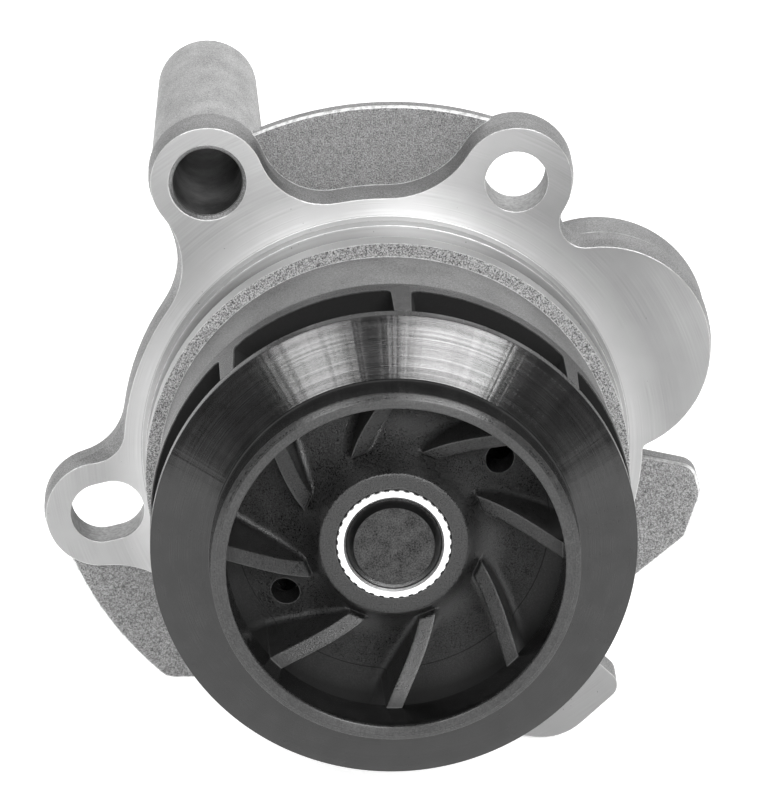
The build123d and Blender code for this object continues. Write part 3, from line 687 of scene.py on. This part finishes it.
def shaft_paint():
    """Dark shaft end with a faint speckle; its rounded edge is painted nearly black as painted shade of the
    recess round it.
    """
    p = Paint("dark_shaft_end", metallic=1.0)
    grain = p.noise(0.2, 3.0, rough=0.7)
    blotch = p.noise(1.5, 2.0, offset=12.0)
    tone = p.plus(p.spread(grain, 0.35, 0.65, 0.02, 0.07), p.spread(blotch, 0.35, 0.65, -0.01, 0.01))
    # painted shade: the rounded edge of the shaft end, in the recess by the bush, is painted nearly black
    edge = p.times(p.above(p.radius, SHAFT_SHADE_R), p.below(p.y, SHAFT_SHADE_BACK))
    tone = p.blend(edge, tone, 0.025)
    ground = p.above(p.y, SHAFT_GROUND_Y)
    marks = p.rings(0.3, 3.0, p.plus(p.radius, p.y))
    tone = p.blend(ground, tone, p.spread(marks, 0.3, 0.7, 0.3, 0.45))
    return p.finish(p.grey(tone), p.spread(grain, 0.3, 0.7, 0.32, 0.45), p.bump(grain, 0.012))


def bush_paint():
    """Bright knurled metal with fine scratches."""
    p = Paint("bright_bush", metallic=1.0)
    grain = p.noise(0.15, 3.0)
    tone = p.spread(grain, 0.3, 0.7, 0.82, 0.96)
    return p.finish(p.grey(tone), p.spread(grain, 0.3, 0.7, 0.3, 0.45), p.bump(grain, 0.02))


def metal_paint(name, tone, change, roughness, grain_size, depth, ringed=False):
    """Metal with grain, slow colour change and, where turned, rings; edges are a little worn."""
    p = Paint(name, metallic=1.0)
    grain = p.noise(grain_size, 3.0, rough=0.65)
    slow = p.noise(grain_size * 40, 2.0, offset=7.0)
    level = p.plus(p.spread(grain, 0.33, 0.67, tone - change, tone + change),
                   p.spread(slow, 0.3, 0.7, -change * 0.3, change * 0.3))
    height = grain
    if ringed:
        marks = p.rings(0.3, 3.0, p.plus(p.radius, p.y))
        level = p.plus(level, p.spread(marks, 0.3, 0.7, -change, change))
        height = p.plus(grain, marks)
    mask, rounded = p.edges(0.18)
    level = p.blend(p.times(mask, 0.5), level, min(tone * 1.5, 0.9))
    rough = p.spread(grain, 0.3, 0.7, roughness - 0.07, roughness + 0.07)
    return p.finish(p.grey(level), rough, p.bump(height, depth, rounded))


def coloured_paint(name, dark, light, roughness, grain_size, depth):
    """Moulded or pressed non-metal in two close colours."""
    p = Paint(name, metallic=0.0)
    grain = p.noise(grain_size, 3.0)
    slow = p.noise(grain_size * 15, 2.0, offset=8.0)
    part = p.plus(p.times(grain, 0.6), p.times(slow, 0.4))
    color = p.mix(p.spread(part, 0.35, 0.65), dark, light)
    rough = p.spread(grain, 0.3, 0.7, roughness - 0.08, roughness + 0.08)
    return p.finish(color, rough, p.bump(grain, depth))


def make_paints():
    """Material of each slot in the record."""
    rubber = (0.018, 0.018, 0.018), (0.04, 0.04, 0.04)
    carbon = (0.025, 0.025, 0.027), (0.05, 0.05, 0.052)
    return {
        "cast_housing": housing_paint(),
        "impeller_plastic": vane_paint(),
        "shroud_plastic": cone_paint(),
        "insert_metal": bush_paint(),
        "shaft_steel": shaft_paint(),
        # name, tone, change of tone, roughness, size of the grain, depth of the relief
        "bearing_steel": metal_paint("ground_steel", 0.5, 0.03, 0.28, 0.25, 0.006, ringed=True),
        "ball_steel": metal_paint("polished_steel", 0.75, 0.02, 0.14, 0.3, 0.002),
        "pressed_steel": metal_paint("pressed_steel", 0.55, 0.04, 0.32, 0.5, 0.008, ringed=True),
        "spring_steel": metal_paint("spring_steel", 0.42, 0.05, 0.35, 0.3, 0.01),
        "pulley_steel": metal_paint("sintered_steel", 0.3, 0.09, 0.5, 0.25, 0.06),
        # name, dark and light colour, roughness, size of the grain, depth of the relief
        "cage_plastic": coloured_paint("cage_nylon", (0.5, 0.43, 0.28), (0.62, 0.55, 0.38), 0.45, 0.3, 0.02),
        "seal_rubber": coloured_paint("black_rubber", *rubber, 0.62, 0.35, 0.03),
        "seal_carbon": coloured_paint("carbon", *carbon, 0.3, 0.25, 0.004),
        "seal_ceramic": coloured_paint("ceramic", (0.74, 0.71, 0.64), (0.82, 0.79, 0.73), 0.2, 0.4, 0.003),
    }


# ------------------------------------------------------------------ camera, light and floor
def make_camera():
    look = Vector((sin(AZIMUTH) * cos(ELEVATION), cos(AZIMUTH) * cos(ELEVATION), -sin(ELEVATION)))
    right = Vector((cos(AZIMUTH), -sin(AZIMUTH), 0))
    up = right.cross(look)
    place = -look * DISTANCE + right * ASIDE * MM + up * ABOVE * MM - Vector((0, AHEAD * MM, 0))
    data = bpy.data.cameras.new("camera")
    data.lens = LENS
    data.sensor_width = 36
    data.clip_start = 0.05
    data.clip_end = 20
    camera = bpy.data.objects.new("camera", data)
    camera.matrix_world = Matrix.Translation(place) @ Matrix((right, up, -look)).transposed().to_4x4()
    bpy.context.scene.collection.objects.link(camera)
    bpy.context.scene.camera = camera


def soft_box(name, azimuth, elevation, distance, width, height, radiance):
    """A rectangular light aimed at the pump; azimuth 0 is in front of it, positive to the right."""
    azimuth = radians(azimuth)
    elevation = radians(elevation)
    toward = Vector((sin(azimuth) * cos(elevation), -cos(azimuth) * cos(elevation), sin(elevation)))
    place = toward * distance
    data = bpy.data.lights.new(name, "AREA")
    data.shape = "RECTANGLE"
    data.size = width
    data.size_y = height
    data.energy = radiance * pi * width * height
    light = bpy.data.objects.new(name, data)
    light.location = place
    light.rotation_mode = "QUATERNION"
    light.rotation_quaternion = (-place).to_track_quat("-Z", "Y")
    bpy.context.scene.collection.objects.link(light)


def make_world():
    """White studio behind the pump and a darker room in front of it; the camera itself sees plain white."""
    world = bpy.data.worlds.new("studio")
    world.use_nodes = True
    tree = world.node_tree
    place = tree.nodes.new("ShaderNodeTexCoord")
    split = tree.nodes.new("ShaderNodeSeparateXYZ")
    depth = tree.nodes.new("ShaderNodeMapRange")
    path = tree.nodes.new("ShaderNodeLightPath")
    level = tree.nodes.new("ShaderNodeMix")
    tree.links.new(place.outputs["Generated"], split.inputs[0])
    tree.links.new(split.outputs["Y"], depth.inputs["Value"])
    ramp = (ROOM_FRONT_ENDS, ROOM_BACK_STARTS, ROOM_FRONT, ROOM_BACK)
    for socket, number in zip(list(depth.inputs)[1:5], ramp):
        socket.default_value = number
    tree.links.new(path.outputs["Is Camera Ray"], level.inputs["Factor"])
    tree.links.new(depth.outputs[0], level.inputs[2])
    level.inputs[3].default_value = 1.0
    tree.nodes["Background"].inputs["Color"].default_value = (1, 1, 1, 1)
    tree.links.new(level.outputs[0], tree.nodes["Background"].inputs["Strength"])
    bpy.context.scene.world = world


def make_light():
    """Two soft boxes with a gap between them, which shows as the dark stripe on the cone."""
    soft_box("left_box", azimuth=-17.5, elevation=25, distance=1.1, width=0.29, height=0.26, radiance=19)
    soft_box("right_box", azimuth=15, elevation=25, distance=1.1, width=0.44, height=0.26, radiance=28.5)


def make_floor():
    """Pale floor just under the pump."""
    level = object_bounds()[0][2] - FLOOR_GAP
    mesh = bpy.data.meshes.new("floor")
    corners = [(-1, -1), (1, -1), (1, 1), (-1, 1)]
    mesh.from_pydata([(x * FLOOR_HALF, y * FLOOR_HALF, level) for x, y in corners], [], [(0, 1, 2, 3)])
    floor = bpy.data.objects.new("floor", mesh)
    bpy.context.scene.collection.objects.link(floor)
    p = Paint("white_floor", metallic=0.0)
    p.shader.inputs["Emission Color"].default_value = (1, 1, 1, 1)
    p.shader.inputs["Emission Strength"].default_value = FLOOR_GLOW
    cloud = p.noise(60.0, 2.0)
    mesh.materials.append(p.finish(p.grey(p.spread(cloud, 0.3, 0.7, 0.88, 0.92)), 0.8, p.bump(cloud, 0.01)))


make_camera()
make_world()
make_light()
paints = make_paints()
for row in frame["record"]["subparts"]:
    materials = nodes[row["node"]].data.materials
    materials.clear()
    materials.append(paints[row["material_slot"]])
for piece, node, slot in (
    (impeller_body(), "impeller_body", "impeller_plastic"),
    (impeller_shroud(), "impeller_shroud", "shroud_plastic"),
    (impeller_insert(), "impeller_insert", "insert_metal"),
):
    piece.data.materials.append(paints[slot])
    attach(piece, "rotor")
    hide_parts(node)
make_floor()
bpy.context.scene.view_settings.view_transform = "Standard"
